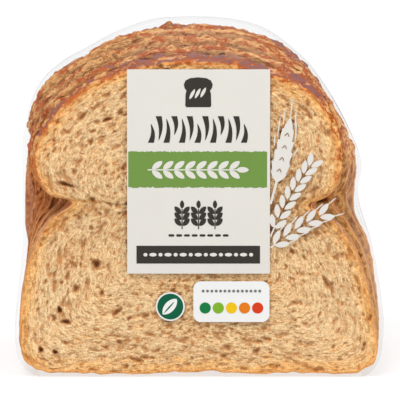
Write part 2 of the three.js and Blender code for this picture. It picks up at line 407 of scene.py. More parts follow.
def pore_depths(xz, rows):
    """How deep the pores lie under each point of a cut face."""
    order = np.argsort(xz[:, 0])
    xs, zs = xz[order].T
    depth = np.zeros(len(xs))
    for cx, cz, half_length, half_width, heading, deepest, wobble in rows:
        reach = max(half_length, half_width) * 1.3
        first, last = np.searchsorted(xs, (cx - reach, cx + reach))
        dx, dz = xs[first:last] - cx, zs[first:last] - cz
        u = (dx * math.cos(heading) + dz * math.sin(heading)) / half_length
        v = (dz * math.cos(heading) - dx * math.sin(heading)) / half_width
        angle = np.arctan2(v, u)
        edge = 1 + 0.16 * np.sin(2 * angle + wobble) + 0.12 * np.sin(3 * angle - 2 * wobble)
        bowl = np.clip(1 - (u * u + v * v) / edge**2, 0, 1) ** 0.6
        depth[first:last] = np.maximum(depth[first:last], bowl * deepest)
    out = np.empty(len(xs))
    out[order] = depth
    return out


print("holes with a place of their own:", sum(len(rows) for rows in HOLES.values()))

# %% [markdown]
# ## Tiger crust
# Before baking, the top of the dough is painted with rice paste. It can't stretch with the
# rising loaf, so it tears into plates with paler cracks between them. Cells round random
# points have the same look: the distance to the second nearest point less that to the nearest
# is small along the cracks. It is taken in the loaf's own space, so a plate that the knife cut
# through goes on across both slices. The noise that bends the cells is seeded, because it would
# otherwise start from another place in each run.

# %% Plates of the crust
PLATE_SIZE = 5.4 * MM
PLATE_WARP = 1.3 * MM
PLATE_RISE = 0.8 * MM
CRACK_WIDTH = 0.7
TIGER_BAND = (60 * MM, 80 * MM)
LUMP_SIZE = 4.5 * MM
LUMP_RISE = 1.0 * MM
WARP_SEED = 5
noise.seed_set(WARP_SEED)


def smooth_step(low, high, value):
    t = np.clip((value - low) / (high - low), 0, 1)
    return t * t * (3 - 2 * t)


def plate_at(point):
    """Distance from the nearest crack between plates, in mm, and a shade for the plate."""
    warp = noise.noise_vector(point / (6 * MM)) * PLATE_WARP
    distances, centres = noise.voronoi((point + warp) / PLATE_SIZE)
    gap = (distances[1] - distances[0]) * PLATE_SIZE / MM
    return gap, 0.5 + 0.5 * noise.noise(centres[0] * 7.3)


print("plates are about", round(PLATE_SIZE / MM, 1), "mm wide")

# %% [markdown]
# ## One slice of bread
# The two outer slices are fully seen on one face, so they get the finest squares there. Of the
# slices between them only the crust and a rim of crumb show. Where a point lies, how deep its
# pore is and how far it is from a crack and from the cut are kept on the mesh, for the
# material to read.

# %% Build a slice
RIM_BAND = 13 * MM
FLOW_ROUND = 17.0
FLOW_OUT = 62.0
FLOW_STEP = 97.0
RIPPLES = {
    # size of the ripples in an outline, what moves them from slice to slice, and their height
    "broad": (14 * MM, 3.7, 0.45 * MM), "fine": (4 * MM, 5.1, 0.225 * MM),
    "lump": (5.5 * MM, 9.1, 0.9 * MM), "knob": (2.2 * MM, 4.3, 0.63 * MM),
    "settled": (19 * MM, 7.7, 1.3 * MM),
}
FILM_CLEARANCE = 0.2 * MM
DENT = {"height": 81.6 * MM, "depth": 1.7 * MM, "reach": 2.8 * MM, "from_slice": 2}
HORN = {"slice": 4, "x": -10.4 * MM, "rise": 3.2 * MM, "reach": 1.2 * MM}
RISEN_BAND = (60 * MM, 85 * MM)
BASE_BAND = 4 * MM
BASE_WEAR = 1.6 * MM
CRUST_EDGE = (0.1 * MM, 0.65 * MM)
FACE_ROUGHNESS = 0.3 * MM
# Share of paste on the crown of each slice. The low shares of the second to the fourth slice are
# painted light: their crowns are drawn red brown and gold, as crowns lit at a grazing angle look.
PASTE_AND_LIGHT = (0.78, 0.45, 0.25, 0.3, 0.6, 0.68, 0.64, 0.72, 0.68, 0.78)
PASTE_ENDS = (79 * MM, 89 * MM)
PASTE_FADE = 7 * MM
FAR_FROM_FOOT = 12.0


def bell(value, middle, reach):
    return np.exp(-(((value - middle) / reach) ** 2))


def uneven_outline(outline, index):
    """Pushes an outline in and out a little, as no two slices are quite alike."""
    away = (outline - HEART) / np.linalg.norm(outline - HEART, axis=1)[:, None]
    out = outline.copy()
    for i, (x, z) in enumerate(outline):
        broad, fine, lump, knob, settled = (
            noise.noise(Vector((x / size, index * step, z / size))) * height
            for size, step, height in RIPPLES.values())
        push = broad + fine
        if index:
            push += (lump + knob + settled) * smooth_step(*RISEN_BAND, z)
        if index >= DENT["from_slice"] and x < 0:
            push -= DENT["depth"] * bell(z, DENT["height"], DENT["reach"])
        if z > BASE_BAND:
            out[i] += away[i] * push
        else:
            out[i, 1] += abs(noise.noise(Vector((x / (5 * MM), index * 2.3, 0.7)))) * BASE_WEAR
    return out


def slice_mesh(front, back, y_front, y_back, outer, seen):
    """The solid slice in small squares, finest where it is seen."""
    bm = bmesh.new()
    add_loft(bm, [(y_front, front), (y_back, back)])
    mesh = remeshed(finished(bm, "solid"), SLICE_VOXEL[outer])
    turn_at, radius_at, _ = ring_table(front)

    def within(point):
        x, z = point.x - HEART[0], point.z - HEART[1]
        return np.interp(math.atan2(z, x), turn_at, radius_at) - math.hypot(x, z)

    def wanted(centre, normal):
        if outer:
            return normal.y * seen > 0.3 or abs(normal.y) < 0.9 and within(centre) < 3 * MM
        return abs(normal.y) < 0.6 or normal.y * seen > 0.6 and within(centre) < RIM_BAND

    def plain(point, normal):
        return outer and normal.y * seen < -0.98 and within(point) > 4 * MM

    refined(mesh, wanted, plain)
    return mesh


def foot_distance(index, xz, outer):
    """How far a point of an inner slice shows above the slice in front of it, in mm."""
    if outer:
        return np.full(len(xz), FAR_FROM_FOOT)
    _, before = slice_outlines(index - 1)
    _, _, inside, _ = place_in_rings(xz, ring_table(uneven_outline(before, index - 1)))
    return np.clip(-inside / MM, 0, FAR_FROM_FOOT)


def held_in(co):
    """Draws back what would stand out of the film."""
    turn, radius = polar(co[:, (0, 2)])
    depths = np.linspace(co[:, 1].min(), co[:, 1].max(), 4)
    limits = np.array([at_turns(turn, *ring_table(film_outline(growth(y - LOAF_FRONT)))[:2])[0]
                       for y in depths])
    place = (co[:, 1] - depths[0]) / (depths[-1] - depths[0]) * 3
    step = np.clip(place.astype(int), 0, 2)
    row = np.arange(len(co))
    limit = limits[step, row] + (place - step) * (limits[step + 1, row] - limits[step, row])
    scale = np.minimum(1, (limit - FILM_CLEARANCE) / radius)
    co[:, (0, 2)] = HEART + (co[:, (0, 2)] - HEART) * scale[:, None]


def noise_at(points, size):
    return np.array([noise.noise(Vector(point) / size) for point in points])


def crust_rise(index, co, gaps, lumps):
    """How far plates and lumps stand out of a slice's crust."""
    tiger = smooth_step(*TIGER_BAND, co[:, 2])
    plates = (smooth_step(0, CRACK_WIDTH, gaps) - 0.6) * PLATE_RISE * (0.4 + 0.6 * PASTE_AND_LIGHT[index])
    uneven = (0.2 + 0.22 * smooth_step(0, 40 * MM, co[:, 0])) * MM
    smooth_side = lumps * uneven * smooth_step(0, 12 * MM, co[:, 2])
    return tiger * (plates + lumps * LUMP_RISE) + (1 - tiger) * smooth_side


def read(mesh, field):
    """A vector of each vertex, as rows."""
    values = np.empty(3 * len(mesh.vertices))
    mesh.vertices.foreach_get(field, values)
    return values.reshape(-1, 3)


def store(mesh, name, values):
    """Keeps a number or a vector for each vertex, under a name."""
    kind, field = ("FLOAT", "value") if values.ndim == 1 else ("FLOAT_VECTOR", "vector")
    layer = mesh.attributes.new(name, kind, "POINT")
    layer.data.foreach_set(field, np.ascontiguousarray(values, dtype=np.float32).ravel())


def make_slice(index):
    outer = index in (0, SLICE_COUNT - 1)
    seen = 1 if index == SLICE_COUNT - 1 else -1
    front, back = (uneven_outline(outline, index) for outline in slice_outlines(index))
    if index == HORN["slice"]:
        horn = bell(front[:, 0], HORN["x"], HORN["reach"]) * HORN["rise"]
        front[:, 1] += horn * (front[:, 1] > HEART[1])
    y_front = LOAF_FRONT + index * SLICE_THICKNESS + (CUT_GAP if index else 0)
    y_back = LOAF_FRONT + (index + 1) * SLICE_THICKNESS
    mesh = slice_mesh(front, back, y_front, y_back, outer, seen)
    table = ring_table(front if seen < 0 else back)

    co, normals = read(mesh, "co"), read(mesh, "normal")
    xz = co[:, (0, 2)]
    turn, share, rim, _ = place_in_rings(xz, table)
    cut = np.minimum(co[:, 1] - y_front, y_back - co[:, 1])
    crust = smooth_step(*CRUST_EDGE, cut)
    face = smooth_step(0.6, 0.9, normals[:, 1] * seen)

    pores = scatter_pores(random.Random(400 + index), table, *PORE_SCATTER[outer])
    pores += [hole(*row) for row in HOLES.get(index, ())]
    cut_face = face > 0
    depth = np.zeros(len(co))
    depth[cut_face] = pore_depths(xz[cut_face], pores) * face[cut_face]
    points = co[cut_face]
    rough = 0.6 * noise_at(points, 1.1 * MM) + noise_at(points, 4.5 * MM)
    if index:
        rough = 1.4 * rough + 1.9 * noise_at(points, 2.1 * MM)
    relief = depth[cut_face] + np.abs(rough) * FACE_ROUGHNESS
    co[cut_face, 1] -= seen * face[cut_face] * relief

    crusted = crust > 0.02
    points = co[crusted]
    gaps, shades, lumps = (np.full(len(co), value) for value in (2.0, 0.5, 0.0))
    gaps[crusted], shades[crusted] = np.array([plate_at(Vector(point)) for point in points]).T
    lumps[crusted] = noise_at(points, LUMP_SIZE) + 0.6 * noise_at(points, 1.7 * MM)
    rise = crust * crust_rise(index, co, gaps, lumps)
    co[:, (0, 2)] += normals[:, (0, 2)] * rise[:, None]
    co[:, 2] = np.maximum(co[:, 2], BASE_LIFT * 0.6)
    held_in(co)
    mesh.vertices.foreach_set("co", co.ravel())

    ends = np.where(co[:, 0] < 0, *PASTE_ENDS)
    paste_and_light = PASTE_AND_LIGHT[index] * smooth_step(ends, ends + PASTE_FADE, co[:, 2])
    flow = np.stack((np.cos(turn) * FLOW_ROUND, np.sin(turn) * FLOW_ROUND,
                     share * FLOW_OUT + index * FLOW_STEP), axis=1)
    kept = {"pit": depth / PORE_DEEPEST, "rim": np.clip(rim / MM, 0, 40), "crust": crust,
            "cut": np.clip(cut / MM, 0, 12), "plate": gaps, "shade": shades, "paste_and_light": paste_and_light,
            "foot": foot_distance(index, xz, outer), "flow": flow}
    for name, values in kept.items():
        store(mesh, name, values)
    mesh.shade_smooth()
    return mesh


slice_meshes = [make_slice(i) for i in range(SLICE_COUNT)]
print("triangles in each slice:", [triangle_count(mesh) for mesh in slice_meshes])

# %% [markdown]
# ## Node helpers
# Each effect is a shader node group, built once, with named inputs and outputs. A new node goes
# into the tree of the sockets that lead to it, which keeps the wiring short enough to read.

# %% Wiring helpers
def feed(socket, value):
    """Links a socket to another one, or gives it a number or a colour."""
    if isinstance(value, bpy.types.NodeSocket):
        socket.id_data.links.new(value, socket)
    elif isinstance(value, tuple) and len(value) == 3 and socket.type == "RGBA":
        socket.default_value = (*value, 1)
    elif value is not None:
        socket.default_value = value


def add(tree, kind, inputs, output=0, **settings):
    """A new node with its settings and inputs, as one of its output sockets."""
    node = tree.nodes.new("ShaderNode" + kind)
    for name, value in settings.items():
        setattr(node, name, value)
    for name, value in inputs.items():
        feed(node.inputs[name], value)
    return node.outputs[output]


def after(kind, inputs, output=0, **settings):
    """A new node in the tree of the sockets that lead to it."""
    tree = next(v.id_data for v in inputs.values() if isinstance(v, bpy.types.NodeSocket))
    return add(tree, kind, inputs, output, **settings)


def use(group, **inputs):
    """A group with its inputs, as all its output sockets."""
    return after("Group", inputs, node_tree=group).node.outputs


def calc(operation, a, b=None, c=None):
    return after("Math", {0: a, 1: b, 2: c}, operation=operation)


def times(a, b):
    return calc("MULTIPLY", a, b)


def plus(a, b, share=1.0):
    """One value and a share of another."""
    return calc("MULTIPLY_ADD", b, share, a)


def ramp(value, low, high, to_low=0.0, to_high=1.0):
    """A smooth step from low to high."""
    return after("MapRange", {"Value": value, "From Min": low, "From Max": high,
                              "To Min": to_low, "To Max": to_high},
                 "Result", interpolation_type="SMOOTHSTEP")


def mix(factor, a, b, blend="MIX"):
    return after("Mix", {0: factor, 6: a, 7: b}, 2, data_type="RGBA", blend_type=blend)


def mix_values(factor, a, b):
    return after("Mix", {0: factor, 2: a, 3: b})


def layers(colour, rows):
    """A colour with others laid over it, each by its own factor."""
    for factor, over in rows:
        colour = mix(factor, colour, over)
    return colour


def clouds(vector, scale, detail=2.0, roughness=0.5, output="Fac"):
    return after("TexNoise", {"Vector": vector, "Scale": scale, "Detail": detail,
                              "Roughness": roughness}, output)


def cells(vector, scale, feature="F1"):
    return after("TexVoronoi", {"Vector": vector, "Scale": scale}, "Distance", feature=feature)


def lot_of(distance):
    """The random number that each cell has of its own."""
    return after("SeparateColor", {0: distance.node.outputs["Color"]})


def split(vector):
    return after("SeparateXYZ", {0: vector}).node.outputs


def bumped(height, strength, distance):
    return after("Bump", {"Height": height, "Strength": strength, "Distance": distance}, "Normal")


def attribute(tree, name, output="Fac"):
    return add(tree, "Attribute", {}, output, attribute_name=name)


def new_group(name, inputs, *outputs):
    """A group with named sockets: its tree, what comes in, and what its outputs are fed by."""
    tree = bpy.data.node_groups.new(name, "ShaderNodeTree")
    for label, value in inputs.items():
        kind = "Vector" if value is None else "Color" if isinstance(value, tuple) else "Float"
        socket = tree.interface.new_socket(label, in_out="INPUT", socket_type="NodeSocket" + kind)
        if value is not None:
            socket.default_value = value
    for label in outputs:
        kind = "Color" if label == "Color" else "Float"
        tree.interface.new_socket(label, in_out="OUTPUT", socket_type="NodeSocket" + kind)
    entry = tree.nodes.new("NodeGroupInput")
    return tree, [entry.outputs[n] for n in inputs], tree.nodes.new("NodeGroupOutput").inputs


def new_material(name):
    """A material, its tree and the piece's own coordinates."""
    material = bpy.data.materials.new(name)
    material.use_nodes = True
    return material, material.node_tree, add(material.node_tree, "TexCoord", {}, "Object")


def shaded(material, inputs):
    """The material with its Principled shader fed, by the names of the inputs."""
    for name, value in inputs.items():
        feed(material.node_tree.nodes["Principled BSDF"].inputs[name], value)
    return material


# %% [markdown]
# ## Fine pores
# Below half a millimetre the pores are texture. Cells that are stretched along the rings each
# hold one round pore of their own size, and the seams between the cells are the pale walls.

# %% Fine pore group
def fine_pore_group():
    tree, (flow, scale, least, most), leave = new_group(
        "fine_pores", {"Flow": None, "Scale": 1.0, "Least": 0.08, "Most": 0.45}, "Pore", "Wall")
    bend = clouds(flow, 0.7, 1.0, 0.5, "Color")
    bent = after("VectorMath", {0: bend, 1: (1.6, 1.6, 1.6), 2: flow}, operation="MULTIPLY_ADD")
    distance = cells(bent, scale)
    radius = mix_values(calc("POWER", lot_of(distance), 1.6), least, most)
    seams = cells(bent, scale, "DISTANCE_TO_EDGE")
    feed(leave["Pore"], ramp(calc("SUBTRACT", radius, distance), -0.02, 0.08))
    feed(leave["Wall"], ramp(seams, 0.02, 0.16, 1, 0))
    return tree


fine_pores = fine_pore_group()

# %% [markdown]
# ## Webbing
# Between the pores the crumb is a web of thin strands. Where a soft noise crosses its middle
# value it draws closed loops, like the walls round bubbles, and where it is lowest lie shallow
# soft pores.

# %% Webbing group
def webbing_group():
    tree, (flow, scale), leave = new_group("webbing", {"Flow": None, "Scale": 1.0}, "Pore", "Wall")
    level = clouds(flow, scale, 2.0, 0.55)
    away = calc("ABSOLUTE", calc("SUBTRACT", level, 0.5))
    feed(leave["Pore"], ramp(level, 0.33, 0.43, 1, 0))
    feed(leave["Wall"], ramp(away, 0.01, 0.075, 1, 0))
    return tree


webbing = webbing_group()

# %% [markdown]
# ## Crumb
# Seen close, crumb is pale cell walls round pores, with flecks of bran and a warm golden zone
# under the crust. The shade inside the pores is painted as a darker colour, deepest where a pore
# is deep. On the slices behind the first one the crumb just above the slice in front lies in its
# shade, and their faces are painted darker as the shade between the slices.

# %% Crumb group
WALL = (0.875, 0.655, 0.37)
CRUMB = (0.87, 0.49, 0.19)
GOLD_WALL = (0.95, 0.56, 0.21)
GOLDEN = (0.95, 0.38, 0.085)
# Browned crumb under the crust. On the right side of the slices behind the front one it is also
# painted shade.
CRISP_AND_SHADE = (0.76, 0.30, 0.075)
# Painted shade: the dark colour of the pores, for the shade inside them. It is also the dark end of
# the crumb's streaks and grain.
FINE_PORE = (0.46, 0.15, 0.028)
# Painted shade at the bottom of the deepest pores.
DEEP_PORE_SHADE = (0.18, 0.065, 0.018)
BRAN = (0.60, 0.19, 0.035)
SINGED = (0.50, 0.11, 0.025)
# Tints that paint shade over the faces of the slices behind the front one: darkest at the lower
# left, lightest on the right and the upper left.
REAR_SHADE_HIGH = (0.88, 0.77, 0.66)
REAR_SHADE_SHOULDER = (1.0, 0.92, 0.72)
REAR_SHADE_LEFT = (0.80, 0.47, 0.29)
REAR_SHADE_RIGHT = (1.0, 0.92, 0.66)
FOOT_SHADE = (0.40, 0.18, 0.065)
LUMP_SCALE = 190.0
GRAIN_SCALE = 1500.0


def crumb_group():
    tree, (flow, place, pit, rim, foot), leave = new_group(
        "crumb", {"Flow": None, "Place": None, "Pit": 0.0, "Rim": 20.0, "Foot": FAR_FROM_FOOT},
        "Color", "Height")
    x, _, z = split(place)
    patch = clouds(place, 110.0, 3.0)
    broad = clouds(flow, 0.42, 2.0, 0.6)
    grain = clouds(place, GRAIN_SCALE, 2.0, 0.7)
    lumps = clouds(place, LUMP_SCALE, 3.0, 0.6)
    behind = ramp(foot, 10.0, 11.9, 1, 0)

    reach = plus(rim, calc("SUBTRACT", broad, 0.5), 10.0)
    golden = times(ramp(reach, 0.0, 7.0, 0.9, 0), ramp(behind, 0, 1, 1, 0.15))
    wall = mix(golden, WALL, GOLD_WALL)
    body = mix(golden, CRUMB, GOLDEN)
    coarse_pore, coarse_wall = use(webbing, Flow=flow, Scale=0.5)
    small_pore, small_wall = use(webbing, Flow=flow, Scale=0.95)
    slit, _ = use(fine_pores, Flow=flow, Scale=0.9, Least=0.03, Most=0.36)
    hollow = calc("MAXIMUM", times(coarse_pore, 0.4), times(small_pore, 0.8))
    strand = times(calc("MAXIMUM", coarse_wall, small_wall), 0.75)
    streaks = mix(ramp(clouds(flow, 1.8, 3.0, 0.75), 0.43, 0.55), FINE_PORE, wall)
    grains = mix(ramp(grain, 0.42, 0.54), FINE_PORE, wall)
    fleck = cells(place, 480.0)
    bran = times(ramp(fleck, 0.22, 0.4, 1, 0), ramp(lot_of(fleck), 0.82, 0.84))
    # Painted shade: the pores are darkened by the fine pore masks, and on the mesh's own pores by
    # how deep they are.
    colour = layers(mix(ramp(patch, 0.36, 0.66, 0.2, 1), wall, body), (
        (hollow, FINE_PORE), (strand, wall), (times(slit, 0.85), FINE_PORE), (0.38, streaks),
        (0.3, grains), (times(bran, 0.6), BRAN), (ramp(pit, 0.03, 0.32, 0, 0.5), FINE_PORE),
        (ramp(pit, 0.4, 0.95, 0, 0.92), DEEP_PORE_SHADE)))

    # Painted shade: the faces of the slices behind the front one are darkened, as the shade that
    # lies between the slices.
    rear_shade = mix(ramp(z, 0.075, 0.1), mix(ramp(x, -0.04, 0.04), REAR_SHADE_LEFT, REAR_SHADE_RIGHT),
                mix(ramp(x, -0.045, -0.015), REAR_SHADE_SHOULDER, REAR_SHADE_HIGH))
    # The crumb browns under the crust. On the slices behind the front one it stays at full strength
    # only on the right side, where it is painted shade over their rims.
    crisp_and_shade = times(ramp(plus(rim, grain, 1.2), 0.5, 2.2, 0.7, 0),
                  calc("MAXIMUM", ramp(behind, 0, 1, 1, 0.2), ramp(x, 0.0, 0.03)))
    shade = times(ramp(plus(foot, grain, 1.5), 0.6, 2.6, 1, 0),
                  calc("MAXIMUM", ramp(z, 0.07, 0.1, 0.15, 0.62), ramp(x, 0.02, 0.035, 0, 0.35)))
    singed = times(ramp(lumps, 0.43, 0.52, 0.85, 0), ramp(plus(rim, grain), 0.9, 2.2, 1, 0))
    singed = times(singed, ramp(z, 0.055, 0.075))
    colour = layers(mix(behind, colour, rear_shade, "MULTIPLY"),
                    ((crisp_and_shade, CRISP_AND_SHADE), (shade, FOOT_SHADE), (singed, SINGED)))
    feed(leave["Color"], colour)
    feed(leave["Height"], calc("SUBTRACT", plus(strand, grain, 0.5), plus(hollow, slit, 0.8)))
    return tree


crumb = crumb_group()

# %% [markdown]
# ## Crust
# The tin keeps the sides smooth and pinkish tan, paler towards the base, while the top is torn
# into purple brown plates with pale cracks and red brown borders. On the second to the fourth
# slice few plates are drawn and the crown is lumpy, red brown and gold: painted light, as a crown
# lit at a grazing angle looks. Further back plates and lumps take turns.

# %% Crust group
SIDE = (0.60, 0.27, 0.12)
SIDE_PALE = (0.74, 0.40, 0.21)
SIDE_DARK = (0.38, 0.14, 0.045)
SIDE_EDGE = (0.74, 0.38, 0.145)
LOW_SIDE = (0.85, 0.52, 0.27)
BROWNER = (0.62, 0.28, 0.11)
YELLOWER = (1.3, 1.35, 1.15)
TANNED = (1.12, 0.94, 0.66)
BASE = (0.68, 0.38, 0.18)
PLATE_DARK = (0.19, 0.076, 0.066)
PLATE_PALE = (0.31, 0.142, 0.122)
SEARED = (0.44, 0.105, 0.025)
RED_CRUST = (0.38, 0.08, 0.016)
GOLD_CRUST = (0.66, 0.35, 0.13)
PALE_GRAIN = (0.86, 0.56, 0.29)
CRACK = (0.74, 0.44, 0.25)


def crust_group():
    tree, (place, plate, shade, cut, paste_and_light), leave = new_group(
        "crust", {"Place": None, "Plate": 2.0, "Shade": 0.5, "Cut": 5.0, "Paste": 1.0},
        "Color", "Height")
    x, y, z = split(place)
    patch = clouds(place, 130.0, 4.0, 0.6)
    fine = clouds(place, 900.0, 3.0, 0.6)
    grain = clouds(place, GRAIN_SCALE, 2.0, 0.7)
    speckles = clouds(place, 420.0, 3.0, 0.65)
    lumps = clouds(place, LUMP_SCALE, 3.0, 0.6)

    side = layers(SIDE, (
        (ramp(patch, 0.4, 0.66), SIDE_PALE), (ramp(fine, 0.4, 0.7, 0, 0.45), SIDE_PALE),
        (ramp(z, 0.025, 0.055, 0.6, 0), LOW_SIDE), (ramp(grain, 0.42, 0.56, 0.6, 0), SIDE_DARK),
        (ramp(speckles, 0.4, 0.5, 0.6, 0), SIDE_DARK)))
    # Between y of -56 mm and -6 mm a tint grows in, and behind that it is full: the side crust is
    # browner on the left and more tan on the right.
    left_right_tint = mix(ramp(x, -0.02, 0.02), BROWNER, TANNED)
    side = mix(ramp(y, -0.056, -0.006), side, left_right_tint, "MULTIPLY")
    brink = times(ramp(plus(cut, fine), 1.0, 2.4, 1, 0), ramp(x, -0.02, 0.02, 0.35, 0.85))
    side = layers(side, ((brink, SIDE_EDGE), (ramp(z, 0.001, 0.006, 1, 0), BASE)))

    baked = layers(RED_CRUST, (
        (ramp(lumps, 0.46, 0.55), GOLD_CRUST), (ramp(fine, 0.38, 0.47, 0.6, 0), RED_CRUST),
        (ramp(fine, 0.53, 0.62, 0, 0.5), PALE_GRAIN)))
    tone = layers(PLATE_DARK, (
        (shade, PLATE_PALE), (ramp(fine, 0.35, 0.7, 0, 0.5), PLATE_PALE),
        (ramp(plate, 0.4, 1.1, 0.7, 0), SEARED)))
    # Painted light: where the share is low, on the second to the fourth slice, the crown is left red
    # brown and gold, as if lit at a grazing angle.
    chance = plus(paste_and_light, calc("SUBTRACT", shade, 0.5))
    tone = layers(mix(ramp(chance, 0.62, 0.74), baked, tone), (
        (times(ramp(plate, 0.08, 0.36, 0.9, 0), paste_and_light), CRACK),
        (ramp(plus(cut, lumps, 3.0), 1.5, 2.4, 0.9, 0), SEARED)))
    gilded = times(ramp(x, 0.03, 0.045, 0, 0.6), ramp(z, 0.085, 0.1, 1, 0))
    tone = mix(gilded, tone, YELLOWER, "MULTIPLY")
    feed(leave["Color"], mix(ramp(z, 0.058, 0.078), side, tone))
    feed(leave["Height"], plus(fine, patch, 0.5))
    return tree


crust = crust_group()

# %% [markdown]
# ## Bread
# Crumb and crust are one material, mixed by how far a point lies from the cut, so that the
# brown edge of a slice runs softly into its face.

# %% Bread material
def bread_material():
    material, tree, place = new_material("bread")
    crumb_colour, crumb_height = use(
        crumb, Flow=attribute(tree, "flow", "Vector"), Place=place, Pit=attribute(tree, "pit"),
        Rim=attribute(tree, "rim"), Foot=attribute(tree, "foot"))
    crust_colour, crust_height = use(
        crust, Place=place, Plate=attribute(tree, "plate"), Shade=attribute(tree, "shade"),
        Cut=attribute(tree, "cut"), Paste=attribute(tree, "paste_and_light"))
    share = attribute(tree, "crust")
    height = mix_values(share, crumb_height, crust_height)
    return shaded(material, {
        "Base Color": mix(share, crumb_colour, crust_colour), "Specular IOR Level": 0.0,
        "Normal": bumped(height, 0.8, 0.4 * MM), "Roughness": ramp(share, 0, 1, 0.92, 0.62)})


bread = bread_material()
for i, mesh in enumerate(slice_meshes):
    as_piece(mesh, f"slice_{i + 1:02d}", bread, "bread", "bread_bag")
print("slices:", SLICE_COUNT)

# %% [markdown]
# ## The film
# The film is one tight skin round the slices. It spans the waist of the front slice almost
# straight and dips a little between slices. It is lofted as rings: out from the middle of the
# front face, round its edge, along the loaf, and in again over the back, where it is gathered
# in soft folds.

# %% Loft of the film
FRONT_EDGE_RADIUS = 1.5 * MM
BACK_EDGE_RADIUS = 5 * MM
GROOVE_DEPTH = 0.15 * MM
EDGE_RINGS = 5
FACE_RINGS = 22
RINGS_PER_SLICE = 6
FOLDS = {"count": 19, "depth": 0.35 * MM, "reach": 12 * MM}


def film_ring(y, draw, lift):
    """A ring of film, drawn in from the full outline and lifted off the floor."""
    outline = film_outline(growth(y - bag_low.y))
    along = headings(outline)
    outline += np.stack((-along[:, 1], along[:, 0]), axis=1) * draw
    outline[:, 1] = np.maximum(outline[:, 1] - (draw - lift), lift)
    return y, outline


def end_rings(y, inwards, radius):
    """Rings from the heart over a flat end and round its edge to the full outline."""
    _, rim = film_ring(y, radius, radius)
    rings = [(y, HEART + (rim - HEART) * (i / FACE_RINGS)) for i in range(1, FACE_RINGS + 1)]
    for i in range(1, EDGE_RINGS + 1):
        angle = i / EDGE_RINGS * math.pi / 2
        draw = radius * (1 - math.sin(angle))
        rings.append(film_ring(y + inwards * radius * (1 - math.cos(angle)), draw, draw))
    return rings


def film_rings():
    front = end_rings(bag_low.y, 1, FRONT_EDGE_RADIUS)
    back = end_rings(bag_high.y, -1, BACK_EDGE_RADIUS)
    sides = []
    for i in range(1, RINGS_PER_SLICE * SLICE_COUNT):
        y = LOAF_FRONT + i * SLICE_THICKNESS / RINGS_PER_SLICE
        dip = 0.5 + 0.5 * math.cos(2 * math.pi * i / RINGS_PER_SLICE)
        if front[-1][0] < y < back[-1][0]:
            sides.append(film_ring(y, GROOVE_DEPTH * dip**2, 0))
    return front + sides + back[::-1]


def film_relief(point):
    """How far the film stands in or out: nearly flat in front, softly folded at the back."""
    sides = smooth_step(0, FOLDS["reach"], point.y - bag_low.y)
    back = smooth_step(-FOLDS["reach"], 0, point.y - bag_high.y)
    slow = noise.noise(point / (26 * MM)) * 0.06 * MM
    tight = noise.noise(Vector((point.x / (30 * MM), point.y / (6 * MM), point.z / (30 * MM))))
    turn = math.atan2(point.z - HEART[1], point.x - HEART[0])
    folds = math.sin(FOLDS["count"] * turn + 4 * noise.noise(point / (30 * MM))) * FOLDS["depth"]
    return slow + tight * 0.03 * MM * sides * (1 - back) + folds * back


def make_film():
    bm = bmesh.new()
    add_loft(bm, film_rings())
    bmesh.ops.recalc_face_normals(bm, faces=list(bm.faces))
    bm.normal_update()
    for vert in bm.verts:
        if vert.co.z > 0.4 * MM:
            vert.co += vert.normal * film_relief(vert.co)
    mesh = finished(bm, "film")
    mesh.shade_smooth()
    return mesh


film_mesh = make_film()
print("film triangles:", triangle_count(film_mesh))

# %% [markdown]
# Clear film shows only where it is seen edge on, so its alpha rises towards grazing views. A
# refracting shell would be truer to the plastic, but through so thin a skin it looks the same.

# %% Film material
def film_material(name, grey, flat_alpha, side_alpha, edge_gain):
    material, tree, place = new_material(name)
    x, y, _ = split(place)
    right = ramp(x, 0.04, 0.055, side_alpha, side_alpha * 1.7)
    around = ramp(y, bag_low.y, bag_low.y + FRONT_EDGE_RADIUS, flat_alpha, right)
    facing = add(tree, "LayerWeight", {"Blend": 0.5}, "Facing")
    haze = clouds(place, 60.0, 3.0)
    return shaded(material, {
        "Base Color": (grey, grey, grey), "Specular IOR Level": 0.25,
        "Alpha": times(around, ramp(facing, 0.5, 0.95, 1, edge_gain)),
        "Roughness": ramp(haze, 0.3, 0.7, 0.08, 0.16), "Normal": bumped(haze, 0.15, 0.3 * MM)})


clear_film = film_material("clear_film", 0.15, 0.012, 0.07, 1.15)
as_piece(film_mesh, "film", clear_film, "film", "bread_bag")
print("film material:", clear_film.name)

# %% [markdown]
# ## Flat print
# The print lies on the film as thin ink. Each mark is an outline in the plane of the front,
# filled and given a thickness of less than a tenth of a millimetre. Drawing the marks as
# outlines keeps their edges crisp from close by, where a painted picture would blur.

# %% Print helpers
PRINT_Y = bag_low.y - 0.15 * MM
PRINT_THICKNESS = 0.06 * MM
OVERLAP_STEP = 0.001 * MM
OVERLAPS = 40


def placed(points, x, z, level):
    """Points turned by an angle from level, in degrees, and moved."""
    cos, sin = math.cos(math.radians(level)), math.sin(math.radians(level))
    return [(x + u * cos - v * sin, z + u * sin + v * cos) for u, v in points]


def ahead(x, z, distance, level):
    return placed([(distance, 0)], x, z, level)[0]


def rectangle(left, right, bottom, top, corner=0.0, steps=6):
    """A rectangle in mm, with round corners if wanted."""
    if not corner:
        return [(left, bottom), (right, bottom), (right, top), (left, top)]
    middles = ((right - corner, bottom + corner), (right - corner, top - corner),
               (left + corner, top - corner), (left + corner, bottom + corner))
    return [ahead(x, z, corner, 90 * (quarter - 1) + 90 * i / steps)
            for quarter, (x, z) in enumerate(middles) for i in range(steps + 1)]


def round_points(sides):
    angles = [2 * math.pi * i / sides for i in range(sides)]
    return [(math.cos(angle), math.sin(angle)) for angle in angles]


def oval(x, z, half_length, half_width, sides=28):
    return [(x + half_length * u, z + half_width * v) for u, v in round_points(sides)]


